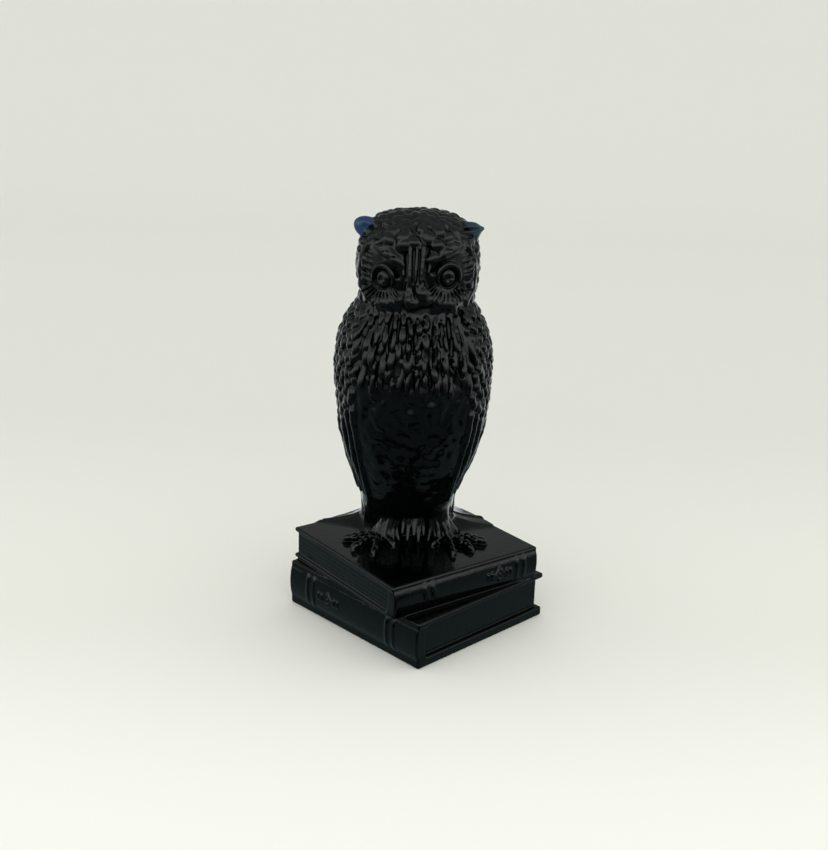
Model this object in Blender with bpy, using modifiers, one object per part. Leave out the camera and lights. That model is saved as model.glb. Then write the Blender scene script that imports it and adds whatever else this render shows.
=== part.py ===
"""Owl figurine: a pressed-glass owl that stands on two closed books, stacked corner to the front.

Frame: metres, +Z up, origin at the centre of the lower book's underside. The owl faces -Y, so its left side is
at +X. Run it with: blender --background --python part.py
"""

import math

import bmesh
import bpy
from mathutils import Matrix, Vector

MM = 0.001

# Driving dimensions, in millimetres.
TOTAL_HEIGHT = 88.5
GAP = 0.3  # between neighbouring solids
OWL_AXIS = (-2.0, 4.0)  # where the owl's vertical axis stands on the books
NECK_Z = 70.0
HIP_Z = 24.0  # underside of the body, where the legs start

# Books: length runs along the spine, width from the spine to the fore edge. A turn of 0 puts the spine at -Y.
# The places of the rib pairs and the lozenge on a spine are shares of its length from the middle.
LOWER_BOOK = {
    "length": 41.0, "width": 38.7, "thickness": 10.0, "bottom_board": 2.1, "top_board": 1.3,
    "bottom_z": 0.0, "centre": (0.0, 0.0), "turn": math.radians(-45.5), "square": 1.3,
    "ribs": (0.30, -0.32), "lozenge": -0.175,
}
UPPER_BOOK = {
    "length": 38.5, "width": 38.2, "thickness": 6.95, "bottom_board": 1.0, "top_board": 1.1,
    "bottom_z": LOWER_BOOK["thickness"] + GAP, "centre": (-0.4, 0.0), "turn": math.radians(37.2), "square": 0.9,
    "ribs": (-0.27, 0.37), "lozenge": 0.215,
}
SPINE_THICKNESS = 2.4
JOINT_GROOVE = 0.7  # depth of the groove between a board and the spine
RIB_HEIGHT, RIB_WIDTH, RIB_PITCH = 0.4, 0.8, 2.4
LOZENGE_REACH, LOZENGE_HEIGHT = 3.4, 0.45

BOOK_TOP_Z = UPPER_BOOK["bottom_z"] + UPPER_BOOK["thickness"]

# Outer sections of the owl, wings included: height, half width, depth in front of the axis, depth behind it.
BODY_SECTIONS = (
    (17.0, 10.4, 8.0, 12.6),
    (22.0, 9.9, 8.6, 12.2),
    (27.0, 10.8, 9.8, 11.8),
    (32.7, 12.6, 11.2, 11.8),
    (38.2, 14.7, 12.2, 12.0),
    (45.5, 16.1, 13.0, 12.4),
    (54.4, 17.0, 13.4, 12.6),
    (60.5, 16.6, 13.3, 12.4),
    (65.0, 15.2, 12.7, 11.6),
    (68.3, 13.2, 11.6, 10.6),
    (71.0, 11.6, 10.4, 9.8),
)
HEAD_SECTIONS = (
    (68.0, 11.6, 10.8, 10.2),
    (71.7, 12.5, 11.6, 11.4),
    (76.0, 13.0, 12.0, 12.2),
    (80.0, 12.1, 11.6, 11.8),
    (83.4, 10.9, 10.2, 10.6),
    (86.0, 9.3, 7.8, 8.4),
    (87.5, 6.8, 5.4, 6.0),
    (88.2, 4.4, 3.4, 3.8),
    (TOTAL_HEIGHT, 1.6, 1.2, 1.4),
)
WING_THICKNESS = 1.8
WING_MARGIN = 0.3  # the clearance round a wing's outline
WING_INNER, WING_REACH = 3.0, 21.0  # how far from the middle plane a wing's cutters start, and how far out they go
# A wing's outline seen from the side: distance behind the owl's axis, height.
WING_OUTLINE = (
    (-9.4, 63.0), (-10.4, 55.0), (-9.8, 45.0), (-8.2, 36.0), (-5.4, 29.4), (-0.8, 26.0), (4.4, 27.0), (8.6, 34.0),
    (10.4, 45.0), (10.6, 56.0), (8.6, 65.0), (3.0, 68.9), (-4.6, 68.0),
)
# The tail's outline seen from the side, in the same way; its last points are beyond the owl's back.
TAIL_TOP_Z = 34.0
ACROSS = 40.0  # longer than the owl is wide, for cutters that go right through it
TAIL_OUTLINE = ((3.0, 0.0), (3.0, 22.0), (6.6, 27.0), (8.8, TAIL_TOP_Z), (25.0, TAIL_TOP_Z), (25.0, 0.0))
TAIL_SECTIONS = (
    (17.0, 9.6, 2.0, 14.2),
    (22.0, 9.7, 2.0, 13.2),
    (28.0, 10.6, 2.0, 12.4),
    (TAIL_TOP_Z, 12.4, 2.0, 11.8),
)

EYE_RADIUS, EYE_HALF_SPACING, EYE_Z, EYE_DEPTH = 2.5, 6.6, 76.2, 8.9
EAR_HALF_SPACING, EAR_Z, EAR_SIZE = 10.9, 84.7, (3.1, 2.5, 2.3)
EAR_FORWARD, EAR_LEAN = 2.0, -14.0  # in front of the owl's axis, and outward in degrees
EAR_CUP, EAR_CUP_SHIFT = 0.62, (0.7, -1.9, 0.2)  # the hollow's size as a share of the ear's, and its offset from it
BROW_INNER, BROW_OUTER = (1.9, -11.7, 78.9), (9.0, -7.6, 83.0)  # the left brow's ends, from the owl's axis
BROW_RADII = (2.2, 1.4)
BEAK_CENTRE, BEAK_RADII = (0.0, -11.9, 73.3), (1.5, 2.4, 3.2)
FOOT_PAD = (3.0, 3.0, 1.9)
TOE_ANGLES = (-14.0, 24.0, 62.0, 100.0)  # each toe's direction, in degrees outward from straight ahead
TOE_LENGTH, TOE_RADIUS = 7.4, 1.3
LEG_CENTRE, LEG_RADIUS = (5.6, -5.2), 3.5
FOOT_CENTRE = (7.6, -7.4)  # of the pad the toes spread from
FEET_SHIFT = 1.4  # the feet and legs stand this far to the owl's left of its axis

SEGMENTS = 44
RING_STEP = 2.0


def collection(name, hidden=False):
    made = bpy.data.collections.new(name)
    bpy.context.scene.collection.children.link(made)
    made.hide_render = hidden
    return made


def material(name, colour, roughness):
    made = bpy.data.materials.new(name)
    made.use_nodes = True
    shader = made.node_tree.nodes["Principled BSDF"]
    shader.inputs["Base Color"].default_value = (*colour, 1.0)
    shader.inputs["Roughness"].default_value = roughness
    shader.inputs["Metallic"].default_value = 0.0
    shader.inputs["IOR"].default_value = 1.52
    made.diffuse_color = (*colour, 1.0)
    return made


for old in list(bpy.data.objects):
    bpy.data.objects.remove(old, do_unlink=True)
PARTS = collection("owl_figurine")
CUTTERS = collection("cutters", hidden=True)
DARK_GLASS = material("dark_glass", (0.006, 0.008, 0.010), 0.08)
BLUE_GLASS = material("blue_glass", (0.02, 0.05, 0.20), 0.10)


def mesh_object(name, mesh, finish=None):
    """A part if it has a finish, otherwise a hidden cutter."""
    obj = bpy.data.objects.new(name, mesh)
    if finish:
        PARTS.objects.link(obj)
        mesh.materials.append(finish)
    else:
        CUTTERS.objects.link(obj)
        obj.hide_render = True
        obj.display_type = "WIRE"
    return obj


def from_bmesh(name, bm, finish=None, smooth=True):
    bmesh.ops.recalc_face_normals(bm, faces=bm.faces)
    mesh = bpy.data.meshes.new(name)
    bm.to_mesh(mesh)
    bm.free()
    if smooth:
        mesh.shade_smooth()
        mesh.set_sharp_from_angle(angle=math.radians(35))
    return mesh_object(name, mesh, finish)


def section_at(sections, z):
    """Half width, front depth and back depth at a height, on a smooth curve through the sections."""
    heights = [s[0] for s in sections]
    z = min(heights[-1], max(heights[0], z))
    k = max(i for i in range(len(sections) - 1) if heights[i] <= z)
    span = heights[k + 1] - heights[k]
    t = (z - heights[k]) / span
    result = []
    for axis in (1, 2, 3):
        slopes = []
        for i in (k, k + 1):
            before, after = max(i - 1, 0), min(i + 1, len(sections) - 1)
            slopes.append((sections[after][axis] - sections[before][axis]) / (heights[after] - heights[before]))
        start, end = sections[k][axis], sections[k + 1][axis]
        result.append((2 * t**3 - 3 * t**2 + 1) * start + (t**3 - 2 * t**2 + t) * span * slopes[0]
                      + (3 * t**2 - 2 * t**3) * end + (t**3 - t**2) * span * slopes[1])
    return result


def smooth_outline(points, steps=4):
    """A closed curve through the points, with this many straight pieces from each point to the next."""
    count, curve = len(points), []
    for i in range(count):
        before, start, end, after = (points[(i + k) % count] for k in (-1, 0, 1, 2))
        for step in range(steps):
            t = step / steps
            curve.append(tuple(0.5 * (2 * b + (c - a) * t + (2 * a - 5 * b + 4 * c - d) * t**2
                                      + (3 * b - a - 3 * c + d) * t**3)
                               for a, b, c, d in zip(before, start, end, after)))
    return curve


def loft(name, sections, low, high, finish=None, grow=0.0, rounding=2.2, step=RING_STEP, domed=False):
    """A closed skin through superellipse sections between two heights. Front and back depths differ."""
    count = max(1, round((high - low) / step))
    heights = [low + (high - low) * (math.sin(math.pi / 2 * k / count) if domed else k / count)
               for k in range(count + 1)]
    bm = bmesh.new()
    rings = []
    for z in heights:
        half, front, back = section_at(sections, z)
        ring = []
        for k in range(SEGMENTS):
            angle = 2 * math.pi * k / SEGMENTS
            c, s = math.cos(angle), math.sin(angle)
            depth = back if s > 0 else front
            x = (half + grow) * math.copysign(abs(c) ** (2 / rounding), c)
            y = (depth + grow) * math.copysign(abs(s) ** (2 / rounding), s)
            ring.append(bm.verts.new(((OWL_AXIS[0] + x) * MM, (OWL_AXIS[1] + y) * MM, z * MM)))
        rings.append(ring)
    for lower, upper in zip(rings, rings[1:]):
        for k in range(SEGMENTS):
            m = (k + 1) % SEGMENTS
            bm.faces.new((lower[k], lower[m], upper[m], upper[k]))
    bm.faces.new(rings[0])
    bm.faces.new(rings[-1])
    return from_bmesh(name, bm, finish)


def slab(name, outline, thickness, turn, finish=None):
    """A flat outline, extruded evenly to both sides of its plane, as a mesh. turn places the outline's plane."""
    curve = bpy.data.curves.new(name + "_outline", "CURVE")
    curve.dimensions = "2D"
    curve.fill_mode = "BOTH"
    curve.extrude = thickness / 2 * MM
    spline = curve.splines.new("POLY")
    spline.points.add(len(outline) - 1)
    for point, (u, v) in zip(spline.points, outline):
        point.co = (u * MM, v * MM, 0.0, 1.0)
    spline.use_cyclic_u = True
    guide = bpy.data.objects.new(name + "_outline", curve)
    CUTTERS.objects.link(guide)
    bpy.context.view_layer.update()
    mesh = bpy.data.meshes.new_from_object(guide.evaluated_get(bpy.context.evaluated_depsgraph_get()))
    bpy.data.objects.remove(guide)
    bm = bmesh.new()
    bm.from_mesh(mesh)
    bpy.data.meshes.remove(mesh)
    bmesh.ops.remove_doubles(bm, verts=bm.verts, dist=0.001 * MM)
    bmesh.ops.transform(bm, matrix=turn, verts=bm.verts)
    return from_bmesh(name, bm, finish, smooth=False)


def ellipsoid(name, centre, radii, finish=None, turn=None, segments=24, rings=14):
    bm = bmesh.new()
    bmesh.ops.create_uvsphere(bm, u_segments=segments, v_segments=rings, radius=1.0)
    place = Matrix.Translation(Vector(centre) * MM) @ (turn or Matrix.Identity(4))
    place = place @ Matrix.Diagonal((*(r * MM for r in radii), 1.0))
    bmesh.ops.transform(bm, matrix=place, verts=bm.verts)
    return from_bmesh(name, bm, finish)


def box(name, centre, size, finish=None, turn=0.0):
    bm = bmesh.new()
    bmesh.ops.create_cube(bm, size=1.0)
    place = Matrix.Translation(Vector(centre) * MM) @ Matrix.Rotation(turn, 4, "Z")
    place = place @ Matrix.Diagonal((*(s * MM for s in size), 1.0))
    bmesh.ops.transform(bm, matrix=place, verts=bm.verts)
    return from_bmesh(name, bm, finish, smooth=False)


def boolean(obj, other, operation):
    modifier = obj.modifiers.new(operation.lower() + "_" + other.name, "BOOLEAN")
    modifier.operation = operation
    modifier.object = other
    return obj


def bevel(obj, width):
    modifier = obj.modifiers.new("rounded_edges", "BEVEL")
    modifier.width = width * MM
    modifier.segments = 2
    modifier.limit_method = "ANGLE"
    return obj


def on_owl(x, y, z):
    """A point given from the owl's axis, in the frame."""
    return (OWL_AXIS[0] + x, OWL_AXIS[1] + y, z)


# A plane's own X and Y become the frame's Y and Z; its depth becomes X.
UPRIGHT = Matrix(((0, 0, 1, 0), (1, 0, 0, 0), (0, 1, 0, 0), (0, 0, 0, 1)))

# --- Books ------------------------------------------------------------------------------------------------------


def book_matrix(book):
    move = Vector((*book["centre"], book["bottom_z"])) * MM
    return Matrix.Translation(move) @ Matrix.Rotation(book["turn"], 4, "Z")


def case_outline(book):
    """The cover's C-shaped section: bottom board, rounded spine with a groove at each board, top board."""
    half, thick = book["width"] / 2, book["thickness"]
    low, high = book["bottom_board"], thick - book["top_board"]
    arc_steps = 8
    centre_z, rise = (low + high) / 2, (high - low) / 2
    outline = [(half, 0.0), (-half + 0.3, 0.0), (-half, 0.3), (-half, low - 0.2), (-half + JOINT_GROOVE, low + 0.1)]
    for step in range(1, arc_steps):
        angle = -math.pi / 2 + math.pi * step / arc_steps
        outline.append((-half + JOINT_GROOVE - JOINT_GROOVE * math.cos(angle), centre_z + rise * math.sin(angle)))
    outline += [(-half + JOINT_GROOVE, high - 0.1), (-half + 0.2, high + 0.2), (-half + 0.2, thick - 0.3),
                (-half + 0.6, thick), (half, thick), (half, high)]
    outline += [(-half + SPINE_THICKNESS, high), (-half + SPINE_THICKNESS, low), (half, low)]
    return outline


def rib_outline(book):
    """The section of one raised rib, which follows the spine's curve and stands proud of it."""
    half, low = book["width"] / 2, book["bottom_board"]
    high = book["thickness"] - book["top_board"]
    centre_z, rise = (low + high) / 2, (high - low) / 2 - 0.3
    steps = 8
    outer = [(-half + JOINT_GROOVE - (JOINT_GROOVE + RIB_HEIGHT) * math.cos(-math.pi / 2 + math.pi * k / steps),
              centre_z + rise * math.sin(-math.pi / 2 + math.pi * k / steps)) for k in range(steps + 1)]
    return outer + [(-half + SPINE_THICKNESS / 2, centre_z + rise), (-half + SPINE_THICKNESS / 2, centre_z - rise)]


def make_book(prefix, book):
    place = book_matrix(book)
    cover = slab(prefix + "_book_cover", case_outline(book), book["length"], place @ UPRIGHT, DARK_GLASS)
    for pair, share in enumerate(book["ribs"]):
        for side in (-0.5, 0.5):
            along = share * book["length"] + side * RIB_PITCH
            rib = slab(f"{prefix}_rib_{pair}_{'a' if side < 0 else 'b'}", rib_outline(book), RIB_WIDTH,
                       place @ Matrix.Translation((along * MM, 0, 0)) @ UPRIGHT)
            boolean(cover, rib, "UNION")
    lozenge = box(prefix + "_spine_lozenge", (0, 0, 0), (1, 1, 1))
    mid_z = (book["bottom_board"] + book["thickness"] - book["top_board"]) / 2
    spot = Matrix.Translation(Vector((book["lozenge"] * book["length"], -book["width"] / 2 + 0.4, mid_z)) * MM)
    flat = Matrix.Diagonal((LOZENGE_REACH * 2**0.5, 2 * LOZENGE_HEIGHT + 0.8, 0.24 * book["thickness"] * 2**0.5, 1.0))
    lozenge.data.transform(place @ spot @ flat @ Matrix.Rotation(math.pi / 4, 4, "Y"))
    boolean(cover, lozenge, "UNION")
    half = book["width"] / 2
    low = book["bottom_board"] + GAP
    high = book["thickness"] - book["top_board"] - GAP
    spine_side, fore_edge = -half + SPINE_THICKNESS + GAP, half - book["square"]
    middle = place @ (Vector((0, (spine_side + fore_edge) / 2, (low + high) / 2)) * MM) / MM
    size = (book["length"] - 2 * book["square"], fore_edge - spine_side, high - low)
    pages = box(prefix + "_book_pages", middle, size, DARK_GLASS, book["turn"])
    bevel(pages, 0.2)


# --- Owl ----------------------------------------------------------------------------------------------------------


def side_slab(name, outline, side, inner, reach):
    """A side-view outline extruded across the owl, from this far from the middle plane outwards."""
    place = Matrix.Translation(((OWL_AXIS[0] + side * (inner + reach / 2)) * MM, OWL_AXIS[1] * MM, 0))
    return slab(name, outline, reach, place @ UPRIGHT)


def through_slab(name, outline):
    """A side-view outline extruded right through the owl."""
    return side_slab(name, outline, 1, -ACROSS / 2, ACROSS)


def tail_room(above):
    """The tail's outline with clearance in front of it, and this much above it."""
    front = max(u for u, _ in TAIL_OUTLINE)
    return [(u - GAP * (u < front), v + above * (v >= TAIL_TOP_Z)) for u, v in TAIL_OUTLINE]


def widened(outline, margin):
    """The outline moved outwards everywhere by the margin."""
    count, moved = len(outline), []
    for i in range(count):
        (u0, v0), (u, v), (u1, v1) = (outline[(i + k) % count] for k in (-1, 0, 1))
        along = Vector((u1 - u0, v1 - v0)).normalized()
        moved.append((u + along.y * margin, v - along.x * margin))
    return moved


def make_body():
    """The torso, with a pocket for each wing and its lower back cut away for the tail."""
    body = loft("owl_body", BODY_SECTIONS, HIP_Z, NECK_Z - GAP / 2, DARK_GLASS)
    for name, side in (("left", 1), ("right", -1)):
        outline = widened(smooth_outline(WING_OUTLINE), WING_MARGIN)
        pocket = side_slab(name + "_wing_pocket", outline, side, WING_INNER, WING_REACH)
        core = loft(name + "_pocket_core", BODY_SECTIONS, HIP_Z - 2.0, NECK_Z + 2.0, grow=-WING_THICKNESS - GAP)
        boolean(body, boolean(pocket, core, "DIFFERENCE"), "DIFFERENCE")
    return boolean(body, through_slab("tail_room_cutter", tail_room(GAP)), "DIFFERENCE")


def make_wing(name, side):
    wing = loft(name, BODY_SECTIONS, 20.0, NECK_Z - GAP / 2, DARK_GLASS)
    outline = side_slab(name + "_outline_cutter", smooth_outline(WING_OUTLINE), side, WING_INNER, WING_REACH)
    core = loft(name + "_core_cutter", BODY_SECTIONS, 18.0, NECK_Z + 2.0, grow=-WING_THICKNESS)
    boolean(wing, outline, "INTERSECT")
    return boolean(wing, core, "DIFFERENCE")


def make_tail():
    """The blunt wedge of tail feathers, from between the wing tips down to the book."""
    tail = loft("owl_tail", TAIL_SECTIONS, BOOK_TOP_Z + GAP, TAIL_TOP_Z, DARK_GLASS, rounding=2.4)
    boolean(tail, through_slab("tail_outline_cutter", TAIL_OUTLINE), "INTERSECT")
    for name, side in (("left", 1), ("right", -1)):
        outline = widened(smooth_outline(WING_OUTLINE), WING_MARGIN)
        pocket = side_slab(name + "_tail_pocket", outline, side, WING_INNER, WING_REACH)
        core = loft(name + "_tail_core", BODY_SECTIONS, 16.0, NECK_Z, grow=-WING_THICKNESS - GAP)
        boolean(tail, boolean(pocket, core, "DIFFERENCE"), "DIFFERENCE")
    return tail


def make_leg(name, side):
    """A short feathered leg between the body's underside and the foot."""
    bm = bmesh.new()
    bmesh.ops.create_cone(bm, cap_ends=True, segments=24, radius1=LEG_RADIUS * MM, radius2=0.88 * LEG_RADIUS * MM,
                          depth=(HIP_Z - BOOK_TOP_Z - 2 * GAP) * MM)
    middle = on_owl(FEET_SHIFT + side * LEG_CENTRE[0], LEG_CENTRE[1], (HIP_Z + BOOK_TOP_Z) / 2)
    bmesh.ops.transform(bm, matrix=Matrix.Translation(Vector(middle) * MM), verts=bm.verts)
    leg = from_bmesh(name, bm, DARK_GLASS)
    return boolean(leg, through_slab(name + "_tail_cutter", tail_room(0.0)), "DIFFERENCE")


def make_foot(name, side):
    """Blunt toes that spread on the book from a pad beside the leg, cut flat to rest on the book."""
    centre = Vector(on_owl(FEET_SHIFT + side * FOOT_CENTRE[0], FOOT_CENTRE[1], BOOK_TOP_Z + 0.6))
    foot = ellipsoid(name, centre, FOOT_PAD, DARK_GLASS, segments=18, rings=10)
    for index, angle in enumerate(TOE_ANGLES):
        turn = Matrix.Rotation(math.radians(side * angle), 4, "Z")
        ahead = turn @ Vector((0, -TOE_LENGTH / 2, 0))
        toe = ellipsoid(f"{name}_toe_{index}", centre + ahead, (TOE_RADIUS, TOE_LENGTH / 2 + 0.5, TOE_RADIUS),
                        turn=turn, segments=14, rings=10)
        boolean(foot, toe, "UNION")
    under = box(name + "_book_cutter", (centre.x, centre.y, BOOK_TOP_Z + GAP - 5.0), (30, 30, 10))
    boolean(foot, under, "DIFFERENCE")
    leg_middle = on_owl(FEET_SHIFT + side * LEG_CENTRE[0], LEG_CENTRE[1], BOOK_TOP_Z + 2.0)
    leg_room = ellipsoid(name + "_leg_cutter", leg_middle, (LEG_RADIUS + 0.5, LEG_RADIUS + 0.5, 7.0))
    return boolean(foot, leg_room, "DIFFERENCE")


def make_head():
    head = loft("owl_head", HEAD_SECTIONS, NECK_Z + GAP / 2, TOTAL_HEIGHT, DARK_GLASS, step=1.2, domed=True)
    for side in (-1, 1):
        socket = ellipsoid(f"eye_socket_cutter_{'left' if side > 0 else 'right'}",
                           on_owl(side * EYE_HALF_SPACING, -EYE_DEPTH, EYE_Z), (EYE_RADIUS + GAP,) * 3)
        boolean(head, socket, "DIFFERENCE")
        ear_root = ellipsoid(f"ear_root_cutter_{'left' if side > 0 else 'right'}",
                             on_owl(side * EAR_HALF_SPACING, -EAR_FORWARD, EAR_Z), [r + GAP for r in EAR_SIZE],
                             turn=ear_turn(side))
        boolean(head, ear_root, "DIFFERENCE")
    return head


def ear_turn(side):
    return Matrix.Rotation(math.radians(side * EAR_LEAN), 4, "Y")


def make_ear(name, side):
    """A rounded, cupped ear tuft, hollowed at the front."""
    centre = on_owl(side * EAR_HALF_SPACING, -EAR_FORWARD, EAR_Z)
    ear = ellipsoid(name, centre, EAR_SIZE, BLUE_GLASS, turn=ear_turn(side))
    cup_centre = Vector(centre) + Vector((side * EAR_CUP_SHIFT[0], *EAR_CUP_SHIFT[1:]))
    cup = ellipsoid(name + "_cup_cutter", cup_centre, [r * EAR_CUP for r in EAR_SIZE], turn=ear_turn(side))
    boolean(ear, cup, "DIFFERENCE")
    return ear


def make_eye(name, side):
    return ellipsoid(name, on_owl(side * EYE_HALF_SPACING, -EYE_DEPTH, EYE_Z), (EYE_RADIUS,) * 3, DARK_GLASS)


def make_brow(name, side):
    """A ridge from the bridge of the beak up to the ear tuft."""
    inner, outer = (Vector(on_owl(side * end[0], *end[1:])) for end in (BROW_INNER, BROW_OUTER))
    along = outer - inner
    turn = along.to_track_quat("X", "Z").to_matrix().to_4x4()
    brow = ellipsoid(name, (inner + outer) / 2, (along.length / 2, *BROW_RADII), DARK_GLASS, turn=turn,
                     segments=16, rings=10)
    skull = loft(name + "_skull_cutter", HEAD_SECTIONS, NECK_Z, TOTAL_HEIGHT + 1.0, grow=GAP)
    boolean(brow, skull, "DIFFERENCE")
    eye = ellipsoid(name + "_eye_cutter", on_owl(side * EYE_HALF_SPACING, -EYE_DEPTH, EYE_Z),
                    (EYE_RADIUS + GAP,) * 3)
    return boolean(brow, eye, "DIFFERENCE")


def make_beak():
    """A short hooked beak on the front of the face."""
    beak = ellipsoid("beak", on_owl(*BEAK_CENTRE), BEAK_RADII, DARK_GLASS, segments=20, rings=14)
    skull = loft("beak_skull_cutter", HEAD_SECTIONS, NECK_Z - 2.0, TOTAL_HEIGHT, grow=GAP)
    body = loft("beak_body_cutter", BODY_SECTIONS, 60.0, 71.0, grow=GAP)
    boolean(beak, skull, "DIFFERENCE")
    return boolean(beak, body, "DIFFERENCE")


make_book("lower", LOWER_BOOK)
make_book("upper", UPPER_BOOK)
make_body()
make_tail()
make_head()
make_beak()
for side_name, side_sign in (("left", 1), ("right", -1)):
    make_wing(side_name + "_wing", side_sign)
    make_leg(side_name + "_leg", side_sign)
    make_foot(side_name + "_foot", side_sign)
    make_ear(side_name + "_ear_tuft", side_sign)
    make_eye(side_name + "_eye", side_sign)
    make_brow(side_name + "_brow", side_sign)
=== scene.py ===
import math
from functools import reduce
from types import SimpleNamespace

import bpy
import numpy as np
import openvdb
from mathutils import Matrix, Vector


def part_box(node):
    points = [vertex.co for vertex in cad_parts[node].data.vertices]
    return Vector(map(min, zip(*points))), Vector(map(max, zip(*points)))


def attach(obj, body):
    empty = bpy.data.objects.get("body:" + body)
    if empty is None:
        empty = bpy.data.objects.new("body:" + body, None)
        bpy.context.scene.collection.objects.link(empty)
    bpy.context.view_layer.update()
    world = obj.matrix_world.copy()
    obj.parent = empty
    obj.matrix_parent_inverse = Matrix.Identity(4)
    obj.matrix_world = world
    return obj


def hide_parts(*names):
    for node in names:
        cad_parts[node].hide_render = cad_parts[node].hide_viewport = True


# The owl is sculpted as one pressing: a signed distance on a grid of points, in millimetres, that feathers,
# face and books are added to and cut from. Its skin is then divided into one piece for each CAD node.

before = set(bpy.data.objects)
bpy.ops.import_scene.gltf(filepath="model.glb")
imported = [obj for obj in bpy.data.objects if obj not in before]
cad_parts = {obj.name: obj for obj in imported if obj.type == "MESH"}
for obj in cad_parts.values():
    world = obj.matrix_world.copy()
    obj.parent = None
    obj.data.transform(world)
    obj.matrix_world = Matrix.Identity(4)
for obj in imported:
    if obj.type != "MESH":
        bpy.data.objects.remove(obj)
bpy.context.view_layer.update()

MM = 0.001
STEP = 0.22  # the grid's spacing
SEED = 11


def node_box(node):
    """A node's lowest and highest corners, in millimetres."""
    return [np.array(corner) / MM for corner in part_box(node)]


# Heights, and where the owl's upright axis stands.
CAD_GAP = 0.3  # between neighbouring nodes
BOOK_TOP = node_box("upper_book_cover")[1][2]
BOOK_SPLIT = node_box("upper_book_cover")[0][2] - CAD_GAP / 2
TOP = node_box("owl_head")[1][2]
NECK = node_box("owl_head")[0][2]
WAIST = 53.0  # where the deep breast feathers end
AXIS_X = sum(corner[0] for corner in node_box("owl_body")) / 2
AXIS_Y = 4.0
HEAD_X = AXIS_X + 0.3  # the head leans a little to the owl's left

rng = np.random.default_rng(SEED)


# --- Clay ---


def soft_min(a, b, blend):
    """The lower of two distances, rounded where they meet."""
    mix = np.maximum(blend - np.abs(a - b), 0) / blend
    return np.minimum(a, b) - mix * mix * blend / 4


class Clay:
    """A signed distance, negative inside, on a regular grid."""

    def __init__(self, low, high, step):
        self.low, self.step = np.array(low, float), step
        counts = np.ceil((np.array(high) - self.low) / step).astype(int) + 1
        self.field = np.full(counts, 5.0, np.float32)

    def window(self, low, high):
        """The part of the grid inside a box: its slices, and its open coordinate arrays."""
        first = np.clip(np.floor((np.array(low) - self.low) / self.step).astype(int), 0, self.field.shape)
        last = np.clip(np.ceil((np.array(high) - self.low) / self.step).astype(int) + 1, 0, self.field.shape)
        slices = tuple(slice(a, b) for a, b in zip(first, last))
        axes = [(self.low[k] + self.step * np.arange(first[k], last[k])).astype(np.float32) for k in range(3)]
        return slices, np.meshgrid(*axes, indexing="ij", sparse=True)

    def apply(self, low, high, shape, blend, cut=False):
        """Adds a shape to the clay, or cuts it away, with a blend of this width."""
        slices, (x, y, z) = self.window(low, high)
        if min(x.size, y.size, z.size) == 0:
            return
        old, new = self.field[slices], shape(x, y, z)
        blend = blend(x, y, z) if callable(blend) else blend
        self.field[slices] = -soft_min(-old, new, blend) if cut else soft_min(old, new, blend)

    def lump(self, centre, radii, axes, blend=0.25, cut=False):
        """An ellipsoid. The rows of axes are the directions of its three radii."""
        centre, radii, axes = np.array(centre), np.array(radii), np.array(axes)
        reach = np.sqrt(((axes * radii[:, None]) ** 2).sum(0)) + blend + self.step

        def shape(x, y, z):
            x, y, z = x - centre[0], y - centre[1], z - centre[2]
            first = second = 0
            for axis, radius in zip(axes, radii):
                along = (axis[0] * x + axis[1] * y + axis[2] * z) / radius
                first = first + along**2
                second = second + (along / radius) ** 2
            first = np.sqrt(first)
            return first * (first - 1) / np.sqrt(second + 1e-9)

        self.apply(centre - reach, centre + reach, shape, blend, cut)

    def stroke(self, start, end, radius, end_radius=None, blend=0.25, cut=False):
        """A round bar between two points, tapered if the end's radius is given."""
        start, end = np.array(start, float), np.array(end, float)
        end_radius = radius if end_radius is None else end_radius
        along = end - start
        reach = max(radius, end_radius) + blend + self.step

        def shape(x, y, z):
            x, y, z = x - start[0], y - start[1], z - start[2]
            share = np.clip((x * along[0] + y * along[1] + z * along[2]) / along.dot(along), 0, 1)
            gap = sum((c - share * a) ** 2 for c, a in zip((x, y, z), along))
            return np.sqrt(gap) - radius - (end_radius - radius) * share

        low, high = np.minimum(start, end) - reach, np.maximum(start, end) + reach
        self.apply(low, high, shape, blend, cut)

    def chain(self, points, radii, blend=0.25, cut=False):
        """A bent bar through several points."""
        for start, end, radius, end_radius in zip(points, points[1:], radii, radii[1:]):
            self.stroke(start, end, radius, end_radius, blend, cut)


def unit(vector):
    vector = np.array(vector, float)
    return vector / np.linalg.norm(vector, axis=-1, keepdims=True)


# --- The owl's smooth form ---

# Height, half width, depth in front of the axis, depth behind it.
FORM = np.array((
    (12.0, 10.0, 3.5, 12.8),
    (20.0, 9.5, 4.0, 12.3),
    (22.5, 9.6, 6.5, 12.0),
    (24.5, 9.9, 8.6, 11.8),
    (27.0, 10.3, 9.5, 11.6),
    (30.8, 11.3, 10.5, 11.3),
    (36.4, 13.4, 11.7, 11.4),
    (42.0, 14.9, 12.3, 11.5),
    (50.0, 15.9, 12.95, 11.7),
    (56.0, 16.2, 13.05, 11.7),
    (61.4, 15.5, 12.5, 11.5),
    (65.0, 14.3, 11.7, 10.9),
    (68.3, 12.4, 10.6, 10.2),
    (70.4, 11.5, 10.2, 10.0),
    (73.5, 12.0, 10.5, 10.7),
    (77.0, 12.3, 10.7, 11.2),
    (81.0, 11.9, 10.5, 11.1),
    (92.0, 11.6, 10.0, 10.6),
))
FORM_Z = np.arange(FORM[0, 0], FORM[-1, 0], 0.5)
FORM_SMOOTH = np.stack([np.interp(FORM_Z, FORM[:, 0], FORM[:, k]) for k in (1, 2, 3)], axis=1)
for _ in range(4):  # rounds the corners at the stations
    FORM_SMOOTH[1:-1] = (FORM_SMOOTH[:-2] + 2 * FORM_SMOOTH[1:-1] + FORM_SMOOTH[2:]) / 4
ROUNDING = 2.15  # how square the owl is seen from above, where 2 is an ellipse
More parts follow.
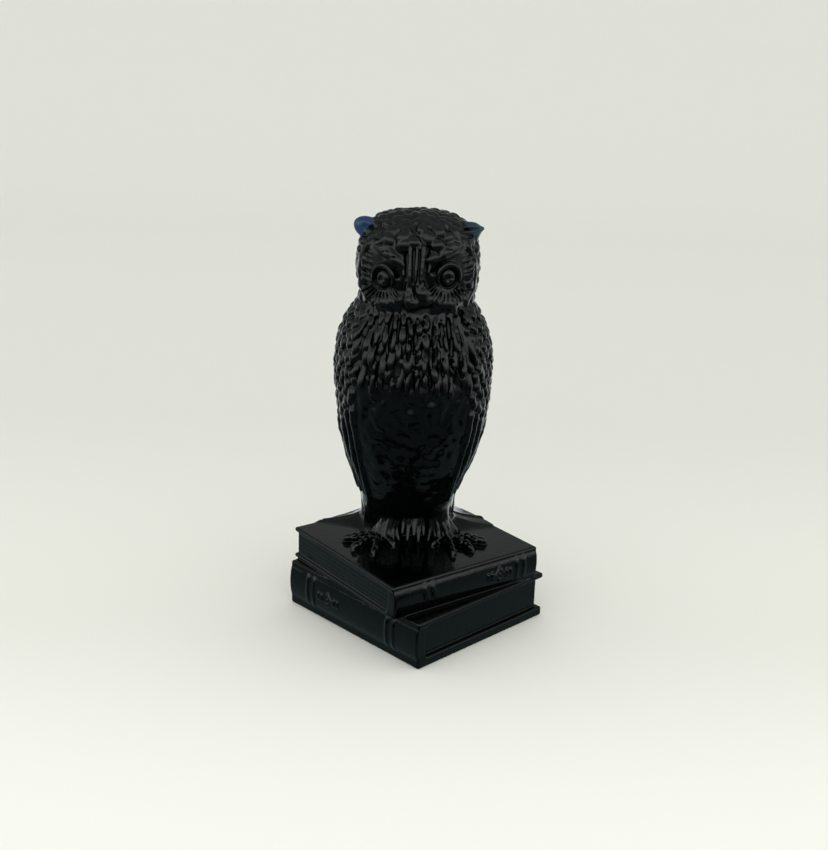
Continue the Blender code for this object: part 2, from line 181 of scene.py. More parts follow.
SKULL_TOP = TOP - 0.9  # the crown's feathers make up the rest
CROWN_START, CROWN_POWER = 76.0, 4.6  # where the dome of the head starts, and how square it is


def form(x, y, z):
    """The distance to the smooth owl, about right near its skin."""
    z_flat = np.asarray(z)
    half, front, back = (np.interp(z_flat, FORM_Z, FORM_SMOOTH[:, k]).astype(np.float32) for k in range(3))
    rise = np.maximum(z_flat - CROWN_START, 0) / (SKULL_TOP - CROWN_START)
    dome = 1 - rise**CROWN_POWER
    centre_x = np.interp(z_flat, (30, 40, 66, 74), (AXIS_X - 0.4, AXIS_X, AXIS_X, HEAD_X))
    u, v = (x - centre_x) / half, y - AXIS_Y
    v = np.where(v < 0, v / front, v / back)
    across = (np.abs(u) ** ROUNDING + np.abs(v) ** ROUNDING) ** (2 / ROUNDING)
    slope = 2 * np.sqrt(across + 1e-4) / np.minimum(half, front)
    lift = CROWN_POWER * rise ** (CROWN_POWER - 1) / (SKULL_TOP - CROWN_START)
    return (across - dome) / np.sqrt(slope**2 + lift**2)


def on_skin(origin, direction):
    """Where a ray from inside the smooth owl meets its skin, and the skin's outward direction there."""
    near, far, direction = 0.0, 30.0, unit(direction)
    for _ in range(24):
        middle = (near + far) / 2
        inside = form(*(origin + direction * middle)) < 0
        near, far = (middle, far) if inside else (near, middle)
    point = origin + direction * near
    nudges = 0.05 * np.eye(3)
    return point, unit([form(*(point + nudge)) - form(*(point - nudge)) for nudge in nudges])


def skin_at(turn, height):
    """The skin at a turn from straight ahead (radians, positive towards the owl's left) and a height."""
    return on_skin((AXIS_X, AXIS_Y, height), (math.sin(turn), -math.cos(turn), 0.0))


def feather(point, outward, towards, size, tilt, sink=0.3, blend=0.2, twist=0.0):
    """A rounded scale that lies on the skin with its free end towards a direction, lifted by the tilt."""
    towards = unit(towards - outward * np.dot(towards, outward))
    side = np.cross(outward, towards)
    towards = unit(towards + side * twist)
    side = np.cross(outward, towards)
    free = towards * math.cos(tilt) + outward * math.sin(tilt)
    face = outward * math.cos(tilt) - towards * math.sin(tilt)
    clay.lump(point - outward * sink * size[2], size, (side, free, face), blend)


clay = Clay((-30.0, -30.0, -1.0), (30.0, 30.0, TOP + 2.5), STEP)


def smooth_owl(x, y, z):
    return form(x, y, z).astype(np.float32)


clay.apply((AXIS_X - 19, AXIS_Y - 16, 15.0), (AXIS_X + 19, AXIS_Y + 17, TOP + 2.0), smooth_owl, 0.01)


# --- Plumage ---


def rows(low, high, spacing):
    """Heights from high to low, each with a half-step shift on every other row."""
    count = max(1, round((high - low) / spacing))
    for k in range(count + 1):
        yield high - (high - low) * k / count, 0.5 * (k % 2)


def skirt(height, spacing, shift, first, last):
    """Turns from first to last (degrees) round the owl at a height, this far apart along the skin."""
    point, _ = skin_at(math.radians((first + last) / 2), height)
    radius = math.hypot(point[0] - AXIS_X, point[1] - AXIS_Y)
    step = math.degrees(spacing / radius)
    count = max(1, int((last - first) / step))
    return [math.radians(first + (k + shift) * (last - first) / count) for k in range(count + (shift == 0))]


def reseed(number):
    """Gives the next part of the sculpting its own random numbers."""
    global rng
    rng = np.random.default_rng(SEED + number)


def wobble(amount):
    return rng.uniform(-amount, amount)


DOWN = np.array((0.0, 0.0, -1.0))
WING_EDGE = 54.0  # how far round from straight ahead a wing's front edge is, in degrees
STRAND_SPACING = 1.75  # between the columns of breast feathers
FLIGHT_FEATHERS = 8
TAIL_FEATHERS = 12
CROWN_SCALES = 185


def groove_between(places, radius, end_radius):
    """A cut along the skin between two places on it."""
    clay.stroke(*[point + outward * 0.1 for point, outward in places], radius, end_radius, 0.1, cut=True)


def scale_row(height, turns, size, tilt, sink, blend, play, side=1):
    """Scales that point down. The play is how far turn, height, width, length, tilt and twist may stray."""
    for turn in turns:
        point, outward = skin_at(side * (turn + wobble(play[0])), height + wobble(play[1]))
        own_size = (size[0] + wobble(play[2]), size[1] + wobble(play[3]), size[2])
        feather(point, outward, DOWN, own_size, tilt + wobble(play[4]), sink, blend, wobble(play[5]))


def breast():
    """Columns of deep strands from the ruff to the waist, their free ends lifted, with grooves between."""
    edge = WING_EDGE + 6
    for column in skirt(60.0, STRAND_SPACING, 0, -edge, edge):
        height = 70.4 - 1.5 * max(0.0, 1 - (column / 0.4) ** 2) + wobble(0.8)  # lower under the beak
        while height > WAIST + 1.4:
            length = 4.0 + wobble(1.6)
            middle = max(height - length / 2, WAIST + 0.9 + wobble(0.5))
            point, outward = skin_at(column + wobble(0.035), middle)
            size = (0.82 + wobble(0.2), 0.6 * length, 0.85 + wobble(0.15))
            feather(point, outward, DOWN, size, 0.24 + wobble(0.08), 0.25, 0.12, wobble(0.14))
            height -= 0.8 * length
    for column in skirt(60.0, STRAND_SPACING, 0.5, -edge, edge - 4):
        height = 67.5 + wobble(1.0)
        while height > WAIST + 2.5:
            length = 3.0 + wobble(1.5)
            if rng.random() < 0.7:
                ends = [skin_at(column + wobble(0.03), level) for level in (height, height - length)]
                groove_between(ends, 0.48 + wobble(0.12), 0.4)
            height -= length + 0.7 + wobble(0.4)
    for column in np.radians((-24, -13, -5, 2, 13, 21)):
        height = rng.uniform(60.0, 67.0)
        ends = [skin_at(column + wobble(0.02), level) for level in (height, height - rng.uniform(3.0, 6.0))]
        groove_between(ends, 0.55, 0.45)


def belly():
    """Soft, shallow scallops that fade out towards the legs."""
    for height, shift in rows(34.0, WAIST - 0.6, 2.7):
        fade = np.clip((height - 33.0) / 14.0, 0, 1)
        for turn in skirt(height, 2.4, shift, -WING_EDGE - 4, WING_EDGE + 4):
            point, outward = skin_at(turn + wobble(0.05), height + wobble(0.7))
            size = (1.2 + wobble(0.35), 1.8 + wobble(0.5), 0.6)
            sink = 1.05 - 0.3 * fade + wobble(0.1)
            feather(point, outward, DOWN, size, 0.12 + wobble(0.05), sink, 0.7, wobble(0.35))


def wing(side):
    """Rounded scales from the shoulder down, and long flight feathers along the front edge."""
    for height, shift in rows(37.0, 67.4, 2.0):
        slim = np.clip((49.5 - height) / 12.5, 0, 1)
        turns = skirt(height, 2.1, shift, WING_EDGE + 2 + 34 * slim, 158.0)
        size, play = (1.05, 1.5 + 0.5 * slim, 0.95 - 0.15 * slim), (0.02, 0.3, 0.15, 0.3, 0.08, 0.15)
        scale_row(height, turns, size, 0.32 - 0.12 * slim, 0.1, 0.15, play, side)
    for k in range(FLIGHT_FEATHERS):
        top_turn, tip_turn = WING_EDGE + 1 + k * 7.5, WING_EDGE - 2 + k * 6.5
        tip_height = 27.5 + 0.5 * k
        top_height = 49.8 - 1.35 * k + wobble(0.6)
        points = []
        for share in np.linspace(0, 1, 9):
            turn = math.radians(top_turn + (tip_turn - top_turn) * share**1.2)
            point, outward = skin_at(side * turn, top_height + (tip_height - top_height) * share)
            lift = 0.2 + 0.15 * math.sin(9 * share + 2 * k) - (0.9 if share == 0 else 0)
            points.append(point + outward * lift)
        clay.chain(points, np.linspace(0.85, 0.65, 9), 0.15)
        point, outward = skin_at(side * math.radians(top_turn + 1.5), top_height - 0.4)
        feather(point, outward, DOWN, (0.95, 1.5, 0.95), 0.28, 0.0, 0.12, wobble(0.2))


def back():
    """Scales down the back."""
    for height, shift in rows(36.0, 66.5, 2.6):
        turns, play = skirt(height, 2.5, shift, 142.0, 218.0), (0.02, 0.3, 0.15, 0.3, 0.05, 0.12)
        scale_row(height, turns, (1.25, 2.0, 0.85), 0.22, 0.15, 0.2, play)


def tail():
    """Long straight feathers down to the book."""
    for turn in np.radians(np.linspace(110.0, 250.0, TAIL_FEATHERS)):
        points = []
        for height in np.linspace(40.0, BOOK_TOP + 1.5, 7):
            point, outward = skin_at(turn, height)
            points.append(point - outward * 0.7)
        clay.chain(points, [1.65] * 7, 0.5)


def below_hairline(x, z):
    """Whether a place on the front of the head belongs to the face: the bridge, the brows or under them."""
    x -= HEAD_X
    brow_top = 79.7 + (abs(x) - 3.4) * 1.0 + (0.8 if x > 0 else 0.0)
    return z < (81.8 if abs(x) < 3.2 else min(brow_top, 84.6))


def crown():
    """Large irregular scales that sweep back from the forehead."""
    face_point = np.array((HEAD_X, AXIS_Y - 12.0, 78.0))
    centre = np.array((HEAD_X, AXIS_Y, CROWN_START))
    golden_turn = math.pi * (3 - math.sqrt(5))
    for k in range(CROWN_SCALES):
        rise = math.asin(1 - (k + 0.5) / CROWN_SCALES)
        turn = k * golden_turn + wobble(0.12)
        direction = (math.cos(rise) * math.sin(turn), -math.cos(rise) * math.cos(turn), math.sin(rise) * 1.15)
        point, outward = on_skin(centre, direction)
        if point[1] < AXIS_Y - 4.5 and below_hairline(point[0], point[2]):
            continue
        away = point - face_point
        size = (1.6 + wobble(0.4), 1.5 + wobble(0.35), 1.15 + wobble(0.2))
        feather(point, outward, away, size, 0.42 + wobble(0.15), 0.3, 0.08, wobble(0.6))


def nape():
    """The sides and back of the head and the collar below it."""
    for height, shift in rows(68.6, 78.5, 2.0):
        turns, play = skirt(height, 2.1, shift, 62.0, 298.0), (0.03, 0.4, 0.2, 0.3, 0.1, 0.3)
        scale_row(height, turns, (1.1, 1.4, 0.8), 0.25, 0.15, 0.15, play)


# --- Face ---

EYES = {-1: (-7.0, 75.2), 1: (6.3, 75.9)}  # across from the middle of the head, and height
EYE_STRETCH = 1.12  # how much taller than wide the lids are


def face_frame(x, z):
    """A point on the face, with its sideways, upward and outward directions."""
    point, outward = on_skin((HEAD_X + x, AXIS_Y, z), (0.0, -1.0, 0.0))
    side = unit(np.array((1.0, 0.0, 0.0)) - outward * outward[0])
    return point, side, np.cross(outward, side), outward


def on_face(x, z, lift=0.0):
    point, _, _, outward = face_frame(x, z)
    return point + outward * lift


def face_chain(places, radii, blend=0.2, cut=False):
    """A bent bar along the face through places given as x, height and lift."""
    clay.chain([on_face(*place) for place in places], radii, blend, cut)


def face_stroke(start, end, radius, end_radius=None, lift=0.0, end_lift=None, blend=0.2, cut=False):
    """A straight bar along the face between two places given as x and height."""
    end_lift = lift if end_lift is None else end_lift
    count = max(2, int(math.dist(start, end) / 1.2) + 1)
    end_radius = radius if end_radius is None else end_radius
    start, end = np.array(start), np.array(end)
    shares = np.linspace(0, 1, count)
    places = [(*(start * (1 - s) + end * s), lift + (end_lift - lift) * s) for s in shares]
    face_chain(places, radius + (end_radius - radius) * shares, blend, cut)


def face_lump(x, z, radii, turn=0.0, lift=0.0, blend=0.2, cut=False):
    """An ellipsoid on the face: radii sideways, upwards and outwards, turned in the face's plane."""
    point, side, up, outward = face_frame(x, z)
    c, s = math.cos(turn), math.sin(turn)
    side, up = side * c + up * s, up * c - side * s
    clay.lump(point + outward * lift, radii, (side, up, outward), blend, cut)


def disc(side):
    """The shallow dish round one eye, and the band outside it with its ragged inner edge."""
    x, z = EYES[side]
    face_lump(x - side * 0.2, z - 0.2, (4.2, 4.2, 2.0), lift=1.4, blend=0.6, cut=True)
    band = ((9.9, 81.6), (11.0, 79.0), (11.3, 76.0), (11.0, 73.0), (9.9, 70.6))
    face_chain([(side * across, height, 0.05) for across, height in band], (0.8, 0.95, 1.0, 0.95, 0.8), 0.3)
    height = 80.6
    while height > 71.0:
        start, end = (side * 10.7, height + 0.5), (side * (9.3 + wobble(0.5)), height)
        face_stroke(start, end, 0.5 + wobble(0.1), 0.15, 0.35, -0.1, 0.12)
        height -= 0.95 + wobble(0.35)


def eye(side):
    """A domed ball with a small pupil, between an arched upper lid and a thin lower one."""
    point, sideways, up, outward = face_frame(*EYES[side])
    point -= outward * 0.45
    axes = np.array((sideways, up, outward))

    def place(across, along, lift):
        return point + (across, along, lift) @ axes

    def ring(radius, thickness, first, last, lift, cut=False):
        turns = np.radians(np.linspace(first, last, 18))
        points = [place(radius * math.cos(a), radius * EYE_STRETCH * math.sin(a), lift) for a in turns]
        thin = thickness * np.linspace(0.6, 1, 9)
        clay.chain(points, [*thin, *thin[::-1]], 0.12, cut)

    clay.lump(place(0, 0, -0.2), (1.75, 2.0, 1.1), axes, 0.15)
    ring(1.95, 0.33, 0, 360, 0.35, cut=True)
    clay.lump(place(-0.25, -0.1, 0.95), (0.62, 0.85, 0.5), axes, 0.1, cut=True)
    clay.lump(place(0.45, -0.45, 0.65), (0.4, 0.4, 0.35), np.eye(3), 0.1)
    ring(2.45, 0.55, -15, 195, 0.45)
    ring(2.3, 0.28, 195, 345, 0.35)


def cheek(side):
    """A soft shelf below an eye, and the lashes that fan down over it."""
    x, z = EYES[side]
    shelf = ((2.6, 71.4, -0.4), (4.6, 70.6, -0.7), (6.8, 70.4, -0.7), (9.0, 71.2, -0.6))
    face_chain([(side * across, height, lift) for across, height, lift in shelf], (1.0, 1.6, 1.6, 1.2), 1.2)

    def place(angle, reach, drop):
        a = math.radians(angle)
        return np.array((x + reach * math.cos(a), z - drop + reach * math.sin(a)))

    angle = 203.0
    while angle < 340:
        end = place(angle, 4.7 + wobble(0.6), 0.5) + (wobble(0.2), 0)
        if 2.2 < abs(end[0]) < 10.6:
            face_stroke(place(angle, 2.8, 0.2), end, 0.33, 0.22, 0.2, 1.05, 0.08)
            start, end = place(angle + 5.5, 2.9, 0.2), place(angle + 5.5, 4.2, 0.4)
            face_stroke(start, end, 0.28, 0.2, 0.1, 0.85, 0.08, cut=True)
        angle += 11.0 + wobble(2.5)


# The middle line of each brow: across, height, half width.
BROWS = {-1: ((3.7, 78.7, 0.9), (5.6, 79.9, 1.2), (7.4, 81.4, 1.5), (9.3, 83.1, 1.7)),
         1: ((2.8, 79.8, 0.8), (5.0, 80.8, 1.1), (7.4, 82.1, 1.4), (9.5, 83.4, 1.6))}


def brow(side):
    """A flat band that widens from the bridge up to the ear tuft, with a thin sharp lower edge."""
    spine = np.array(BROWS[side])
    slant = math.atan2(spine[-1, 1] - spine[0, 1], spine[-1, 0] - spine[0, 0])

    def along(share):
        return [np.interp(share, range(len(spine)), column) for column in spine.T]

    face_lump(side * (spine[0, 0] + 1.6), spine[0, 1] - 2.0, (2.2, 0.9, 1.1), side * 0.5, 0.3, 0.4, cut=True)
    for x, z, half in map(along, np.linspace(0, 3, 10)):
        face_lump(side * x, z, (1.4, half, 0.5), side * slant, -0.05, 0.5)
    for x, z, half in map(along, (0.5, 1.2, 1.9, 2.6)):
        start, end = (side * (x - 0.2), z + 0.5 * half), (side * (x + 0.9), z + 0.2 * half)
        face_stroke(start, end, 0.2, 0.15, 0.45, 0.5, 0.1, cut=True)
    edge = [(side * (x + half * math.sin(slant)), z - half * math.cos(slant), 0.35) for x, z, half in spine]
    face_chain(edge, (0.2, 0.24, 0.26, 0.26), 0.12)


def bridge():
    """A wedge between the brows that leans out towards the beak, ridged upright with deep slots."""
    face_chain(((0.0, 81.8, -2.0), (-0.2, 78.4, -1.3), (-0.5, 75.2, -0.5)), (2.2, 2.2, 1.9), 0.5)

    def upright(x, top, end, radius, end_radius, lift, cut=False):
        lifts = lift - 0.09 * x * x, lift + 1.05 - 0.12 * x * x
        face_stroke((x, top), end, radius, end_radius, *lifts, 0.1, cut)

    for x, top, radius in ((-2.3, 80.6, 0.5), (-0.8, 81.4, 0.34), (0.35, 81.2, 0.34), (1.9, 81.8, 0.55)):
        upright(x, top, (x * 0.8 - 0.2, 75.2), radius, radius * 0.8, 0.25, cut=True)
    ridges = ((-3.1, 79.9, 76.4, 0.42), (-1.55, 82.0, 75.0, 0.5), (-0.22, 81.6, 75.4, 0.34),
              (1.1, 82.0, 75.6, 0.48), (2.8, 80.2, 77.0, 0.42))
    for x, top, bottom, radius in ridges:
        upright(x, top, (x * 0.82 - 0.2, bottom), radius, radius * 0.85, 0.3)


def beak():
    """A short beak, slotted beside its ridge, the soft muzzle next to it, and the plain strip under it."""
    muzzle = ((0.6, 74.8, 0.0), (1.0, 73.0, 0.5), (1.6, 71.4, 0.4), (3.4, 71.6, 0.0))
    face_chain(muzzle, (0.9, 1.3, 1.3, 0.9), 0.6)
    for k in range(6):
        start, end = (-0.2 + 0.5 * k, 74.9 - 0.12 * k), (0.5 * k, 72.3 + 0.1 * k)
        face_stroke(start, end, 0.22, 0.18, 1.15 - 0.12 * k, 1.75 - 0.12 * k, 0.08)
    ridge = ((-1.5, 74.6, 0.4), (-1.5, 72.6, 0.9), (-1.4, 71.4, 0.95), (-1.2, 70.4, 0.7))
    face_chain(ridge, (0.7, 1.0, 1.2, 1.3), 0.4)
    face_lump(-0.6, 70.9, (1.8, 1.1, 1.1), lift=0.5, blend=1.2)
    face_stroke((-1.0, 73.6), (-0.95, 71.9), 0.28, 0.24, 1.75, 2.05, 0.1, cut=True)
    face_stroke((-2.1, 73.5), (-2.1, 71.4), 0.3, 0.25, 1.35, 1.8, 0.1)
    face_lump(0.0, 69.2, (4.0, 0.8, 0.4), lift=-0.45, blend=0.5)


for number, sculpt in enumerate((breast, belly, back, tail, crown, nape, bridge)):
    reseed(number)
    sculpt()
for side in (-1, 1):
    reseed(10 + side)
    for sculpt in (wing, disc, brow, cheek, eye):
        sculpt(side)
beak()


# --- Ear tufts ---


def ear_tufts():
    """Shallow cupped tufts: the owl's right one is rounded, and its left one runs to a point."""
    right = np.array((HEAD_X - 10.7, AXIS_Y - 2.0, 84.5))
    lean, up = unit((-0.8, 0.0, 0.3)), unit((0.3, 0.0, 0.8))
    out = np.cross(lean, up)
    clay.lump(right, (2.75, 2.15, 1.6), (lean, up, out), 0.4)
    clay.lump(right + (-0.2, -2.1, 0.0), (2.1, 1.6, 0.8), (lean, up, (0.0, 1.0, 0.0)), 0.2, cut=True)
    left = np.array((HEAD_X + 10.0, AXIS_Y - 2.0, 84.2))
    clay.chain(left + ((-1.2, 0.3, 0.4), (1.1, 0.0, 0.3), (2.9, -0.2, 0.7)), (1.8, 1.6, 0.45), 0.4)
    clay.lump(left + (0.9, 0.1, -0.6), (1.5, 0.9, 1.7), np.eye(3), 0.5)
    cup = left + ((-0.4, -2.1, 0.3), (1.0, -1.95, 0.3), (2.1, -1.1, 0.6))
    clay.chain(cup, (0.9, 0.95, 0.4), 0.2, cut=True)


ear_tufts()


# --- Legs and feet ---

FEET_X = AXIS_X + 1.3  # midway between the feet
TOES = ((70, 8.3), (34, 9.6), (4, 10.6), (-32, 6.8))  # directions outward from straight ahead, and lengths
KNUCKLES = ((0.3, 1.25), (0.5, 1.2), (0.7, 1.1), (0.87, 0.9))  # shares of a toe's length, and radii


def leg(side):
    """A short stout leg under long feathers that sweep down and out over the foot."""
    hip = np.array((FEET_X + side * 4.7, AXIS_Y - 4.6, 24.0))
    ankle = np.array((FEET_X + side * 6.3, AXIS_Y - 4.4, BOOK_TOP + 0.6))
    clay.stroke(hip, ankle, 2.6, 2.2, 1.0)
    for turn in np.radians(np.linspace(-65, 105, 10)):
        swing = np.array((side * math.sin(turn), -math.cos(turn), 0.0))
        start, end = hip + swing * (2.1 + wobble(0.2)), ankle + swing * (3.6 + wobble(0.7))
        start[2] += wobble(1.0) - 0.4
        bend = start * 0.4 + end * 0.6 - swing * 0.7
        clay.chain((start, bend, end), (0.3, 0.6 + wobble(0.14), 0.4), 0.1)


def strands_between_legs():
    """A fringe of short wisps under the belly."""
    for across, drop in ((-2.2, 2.4), (-1.2, 0.9), (0.0, 2.2), (0.9, 0.6), (1.8, 2.0)):
        start = np.array((FEET_X + across * 0.9, AXIS_Y - 6.7, 23.4 + wobble(0.4)))
        end = np.array((FEET_X + across * 1.15, AXIS_Y - 8.0 + wobble(0.4), BOOK_TOP + drop))
        clay.chain((start, (start + end) / 2 + (0, 0.5, 0), end), (0.35, 0.6, 0.3), 0.12)


def foot(side):
    """Four knuckled toes that spread from the ankle, each with two grooves and a claw."""
    root = np.array((FEET_X + side * 7.7, AXIS_Y - 4.4 + 0.6 * side, 0.0))
    for angle, length in TOES:
        a = math.radians(side * angle)
        across = np.array((math.cos(a), math.sin(a), 0.0))
        ahead = np.array((across[1], -across[0], 0.0))
        length += wobble(0.4)

        def place(share, offset, height):
            return root + ahead * length * share + across * offset + (0, 0, BOOK_TOP + height)

        for share, radius in KNUCKLES:
            size = (radius * 0.75, length * 0.125, radius)
            clay.lump(place(share, wobble(0.3), 0.75), size, (across, ahead, (0, 0, 1)), 0.15)
        clay.stroke(place(0.85, 0, 0.8), place(0.97, 0, 0.35), 0.7, 0.4, 0.15)
        for offset in (-0.75, 0.75):
            clay.stroke(place(0.35, offset, 1.15), place(0.75, offset * 1.2, 1.15), 0.28, 0.22, 0.1, cut=True)


for side in (-1, 1):
    reseed(20 + side)
    leg(side)
strands_between_legs()
for side in (-1, 1):
    foot(side)


# --- The hand of the mould maker ---


def spread(values, count, axis):
    """Eases a coarse grid of values out to more points along one axis."""
    place = np.linspace(0, values.shape[axis] - 1, count)
    first = np.minimum(place.astype(int), values.shape[axis] - 2)
    share = (place - first).astype(np.float32)
    share = (share * share * (3 - 2 * share)).reshape([-1 if k == axis else 1 for k in range(3)])
    return np.take(values, first, axis) * (1 - share) + np.take(values, first + 1, axis) * share


def unevenness(spacing, depth):
    """Smooth random swelling and sinking all over the clay."""
    span = np.array(clay.field.shape) * clay.step
    values = rng.uniform(-depth, depth, np.ceil(span / spacing).astype(int) + 1).astype(np.float32)
    for axis in range(3):
        values = spread(values, clay.field.shape[axis], axis)
    return values


clay.field += unevenness(1.5, 0.07) + unevenness(4.0, 0.12)


# --- Books ---

# A turn of 0 puts the spine in front. The pairs of ribs and the ornament are placed from the spine's middle.
# The square is how far the boards reach past the pages.
UPPER = SimpleNamespace(turn=math.radians(37.2), half_length=19.25, half_width=19.1, centre=(-0.4, 0.0),
                        low=BOOK_SPLIT, high=BOOK_TOP, bottom_board=0.9, top_board=1.0, square=0.6,
                        ribs=(-10.395, 14.245), ornament=8.2775, parting=True, leaf_depth=0.025)
LOWER = SimpleNamespace(turn=math.radians(-45.5), half_length=20.5, half_width=19.35, centre=(0.0, 0.0),
                        low=0.0, high=BOOK_SPLIT, bottom_board=2.0, top_board=1.2, square=1.1,
                        ribs=(12.3, -13.12), ornament=-7.175, parting=False, leaf_depth=0.006)
LEAF_SPACING = 0.95  # between the grooves that stand for the leaves
HINGE = 0.55  # how far the boards stop short of the spine's face
RIB_SHIFT = 1.0  # from the middle of a pair of ribs to each of them
ROUND_SPINE = 0.85  # how far the middle of the spine stands out


def book_coordinates(book, x, y):
    """Distances along the spine, and from the spine's side towards the fore edge, from the book's middle."""
    x, y = x - book.centre[0], y - book.centre[1]
    c, s = math.cos(book.turn), math.sin(book.turn)
    return x * c + y * s, -x * s + y * c


def slab(u, v, z, low, high, edge):
    """The distance to a box with rounded edges."""
    gaps = [np.maximum(low[k] + edge - c, c - high[k] + edge) for k, c in enumerate((u, v, z))]
    outside = np.sqrt(sum(np.maximum(gap, 0) ** 2 for gap in gaps))
    return outside + np.minimum(np.maximum(np.maximum(*gaps[:2]), gaps[2]), 0) - edge


PARTING = SimpleNamespace(x=-4.0, y=9.6, turn=math.radians(7.0), height=0.4, width=0.45, fall=0.075)


def dip(book, x, y, z):
    """How far places in the upper book are moved up: a moulding seam, and a fall of the top behind it."""
    if not book.parting:
        return 0.0
    behind = (y - PARTING.y) * math.cos(PARTING.turn) - (x - PARTING.x) * math.sin(PARTING.turn)
    seam = PARTING.height * np.exp(-((behind / PARTING.width) ** 2))
    share = np.clip((z - book.low) / (book.high - book.low), 0, 1)
    return (seam - PARTING.fall * np.maximum(behind, 0)) * share**2


def between_boards(book):
    """The height halfway between a book's boards."""
    return (book.low + book.bottom_board + book.high - book.top_board) / 2


def board_shape(book, u, v, z):
    first, last = (-book.half_length, -book.half_width + HINGE), (book.half_length, book.half_width)
    under = slab(u, v, z, (*first, book.low), (*last, book.low + book.bottom_board), 0.4)
    over = slab(u, v, z, (*first, book.high - book.top_board), (*last, book.high), 0.45)
    return soft_min(under, over, 0.2)


def page_shape(book, u, v, z):
    end, fore_edge = book.half_length - book.square, book.half_width - book.square
    first, last = (-end, -book.half_width + 1.0, book.low), (end, fore_edge, book.high - 0.3)
    return slab(u, v, z, first, last, 0.2) + book.leaf_depth * np.sin(z * 2 * math.pi / LEAF_SPACING)


def spine_shape(book, u, v, z):
    """A slab that bulges between the boards, and more at each rib."""
    rise = (book.high - book.low - book.bottom_board - book.top_board) / 2 + 0.35
    arc = np.sqrt(np.maximum(1 - ((z - between_boards(book)) / rise) ** 2, 0))
    bulge = ROUND_SPINE * arc
    for place in book.ribs:
        for shift in (-RIB_SHIFT, RIB_SHIFT):
            rib = np.abs(u - place - shift) - 0.1
            bulge = bulge + 0.3 * arc * np.exp(-np.maximum(rib, 0) ** 2 / 0.08)
    end, side = book.half_length - 0.15, -book.half_width
    return slab(u, v + bulge, z, (-end, side + 0.85, book.low + 0.5), (end, side + 3.5, book.high - 0.5), 0.3)


def make_book(book):
    """A closed book: boards, page block and spine."""

    def shape(x, y, z):
        z = z - dip(book, x, y, z)
        u, v, z = np.broadcast_arrays(*book_coordinates(book, x, y), z)
        block = soft_min(page_shape(book, u, v, z), spine_shape(book, u, v, z), 0.3)
        return soft_min(board_shape(book, u, v, z), block, 0.35)

    blend = flare if book.parting else 0.35
    clay.apply((-30, -30, book.low - 1), (30, 30, book.high + 6), shape, blend)


def flare(x, y, z):
    """How widely the owl's base runs out onto the book: sharp at the feet, and soft behind."""
    return 0.35 + 4.5 * np.clip((y - 3.0) / 5.0, 0, 1) * np.clip((z - BOOK_TOP + 1.5) / 1.5, 0, 1)


def ornament(book):
    """A plain lozenge between pairs of beads, raised a little on the spine."""
    along = np.array((math.cos(book.turn), math.sin(book.turn), 0.0))
    outward = np.array((along[1], -along[0], 0.0))
    middle = (*book.centre, between_boards(book)) + along * book.ornament
    middle += outward * (book.half_width - 0.02)

    def line(places, radius=0.3):
        points = [middle + along * across + (0, 0, up) for across, up in places]
        clay.chain(points, [radius] * len(points), 0.12)

    line(((-1.1, 0.0), (0.0, 1.3), (1.1, 0.0), (0.0, -1.3), (-1.1, 0.0)))
    line(((-0.1, 0.0), (0.1, 0.0)), 0.4)
    for side in (-1, 1):
        for across, size in ((2.0, 0.5), (3.1, 0.4)):
            line(((side * across, -0.5), (side * across, 0.5)), size)


make_book(LOWER)
make_book(UPPER)
ornament(UPPER)
ornament(LOWER)
# The underside is cut flat.
clay.apply((-30, -30, -1), (30, 30, 1), lambda x, y, z: z + 0 * (x + y), 0.05, cut=True)


# --- Skin and pieces ---


def polygonise():
    """The clay's skin: points in millimetres and faces of four corners."""
    grid = openvdb.FloatGrid(5.0)
    grid.copyFromArray(np.clip(clay.field, -5, 5))
    points, quads = grid.convertToQuads(isovalue=0.0)
    return points.astype(float) * clay.step + clay.low, quads


def outward_at(points):
    """The clay's outward direction at points, from its distances."""
    grid = (points - clay.low) / clay.step
    base = np.clip(np.floor(grid).astype(int), 1, np.array(clay.field.shape) - 3)
    share = grid - base
    steps = np.eye(3, dtype=int)[:, :, None]
    total = np.zeros(points.shape)
    for corner in np.ndindex(2, 2, 2):
        weight = np.prod(np.where(corner, share, 1 - share), axis=1)
        spots = (base + corner).T
        slope = [clay.field[tuple(spots + step)] - clay.field[tuple(spots - step)] for step in steps]
        total += weight[:, None] * np.transpose(slope)
    return unit(total + 1e-9)


def along_band(across, height, spine):
    """How far places are from a bent line, less its half width there."""
    gaps = []
    for (x0, z0, half0), (x1, z1, half1) in zip(spine, spine[1:]):
        dx, dz = x1 - x0, z1 - z0
        share = np.clip(((across - x0) * dx + (height - z0) * dz) / (dx * dx + dz * dz), 0, 1)
        gap = np.hypot(across - x0 - share * dx, height - z0 - share * dz)
        gaps.append(gap - half0 - share * (half1 - half0))
    return np.minimum.reduce(gaps)


NODES = ("owl_body", "owl_head", "owl_tail", "left_wing", "right_wing", "left_leg", "right_leg", "left_foot",
         "right_foot", "left_ear_tuft", "right_ear_tuft", "left_eye", "right_eye", "beak", "left_brow",
         "right_brow", "lower_book_cover", "lower_book_pages", "upper_book_cover", "upper_book_pages")
SMALLEST_PATCH = 5.0  # square millimetres
HANDS = ((-1, "right"), (1, "left"))


def mark(names, node, places):
    names[places] = NODES.index(node)


